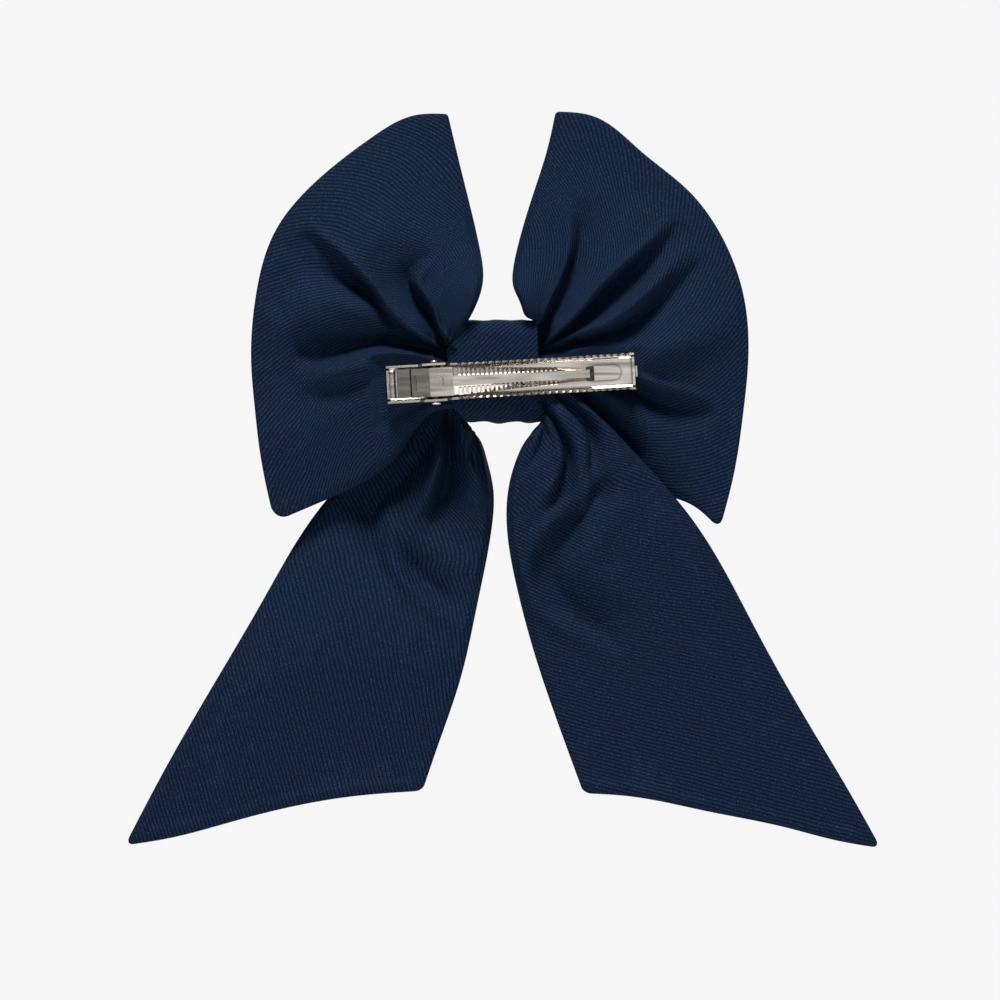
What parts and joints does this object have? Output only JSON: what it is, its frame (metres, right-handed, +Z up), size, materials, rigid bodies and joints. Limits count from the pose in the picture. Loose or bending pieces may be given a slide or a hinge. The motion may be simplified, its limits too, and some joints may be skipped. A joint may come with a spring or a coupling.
{
  "type": "hair bow",
  "caption": "Large navy twill hair bow with rounded gathered wings and long slanting tails, held by a spring-closed metal alligator clip with a toothed jaw and a ribbed prong.",
  "frame": {"origin": "where the clip's jaws close on the hair, behind the middle of the knot", "axes": "+Z up as worn, -Y towards the clip side, +X to the right when the clip side faces the viewer"},
  "size_m": [0.1504, 0.021, 0.147],
  "materials": {
    "navy_twill": "woven polyester twill, matt, fine diagonal ribs",
    "navy_thread": "spun polyester sewing thread",
    "hot_melt_glue": "cloudy hot-melt glue",
    "nickel_plated_steel": "bright nickel plating on stamped steel",
    "spring_steel": "rolled spring steel strip"
  },
  "bodies": {
    "root": {"wing_left_back_layer": "navy_twill", "wing_left_front_layer": "navy_twill", "wing_right_back_layer": "navy_twill", "wing_right_front_layer": "navy_twill", "tail_left_back_layer": "navy_twill", "tail_left_front_layer": "navy_twill", "tail_right_back_layer": "navy_twill", "tail_right_front_layer": "navy_twill", "knot_band": "navy_twill", "wing_left_seam_thread": "navy_thread", "wing_right_seam_thread": "navy_thread", "tail_left_seam_thread": "navy_thread", "tail_right_seam_thread": "navy_thread", "gathering_thread": "navy_thread", "band_stitches": "navy_thread", "clip_glue_pad": "hot_melt_glue", "clip_toothed_base": "nickel_plated_steel", "clip_hinge_pin": "nickel_plated_steel", "clip_leaf_spring": "spring_steel"},
    "prong": {"clip_ribbed_prong": "nickel_plated_steel"}
  },
  "joints": [
    {"name": "prong_hinge", "type": "hinge", "parent": "root", "child": "prong", "pos_m": [-0.013, -0.00075, -0.0023], "axis": [0.0576, 0, -0.9983], "range_deg": [0, 28], "stiffness_Nm_per_rad": 0.06, "springref_deg": -20.05, "deforming": ["clip_leaf_spring"]}
  ]
}
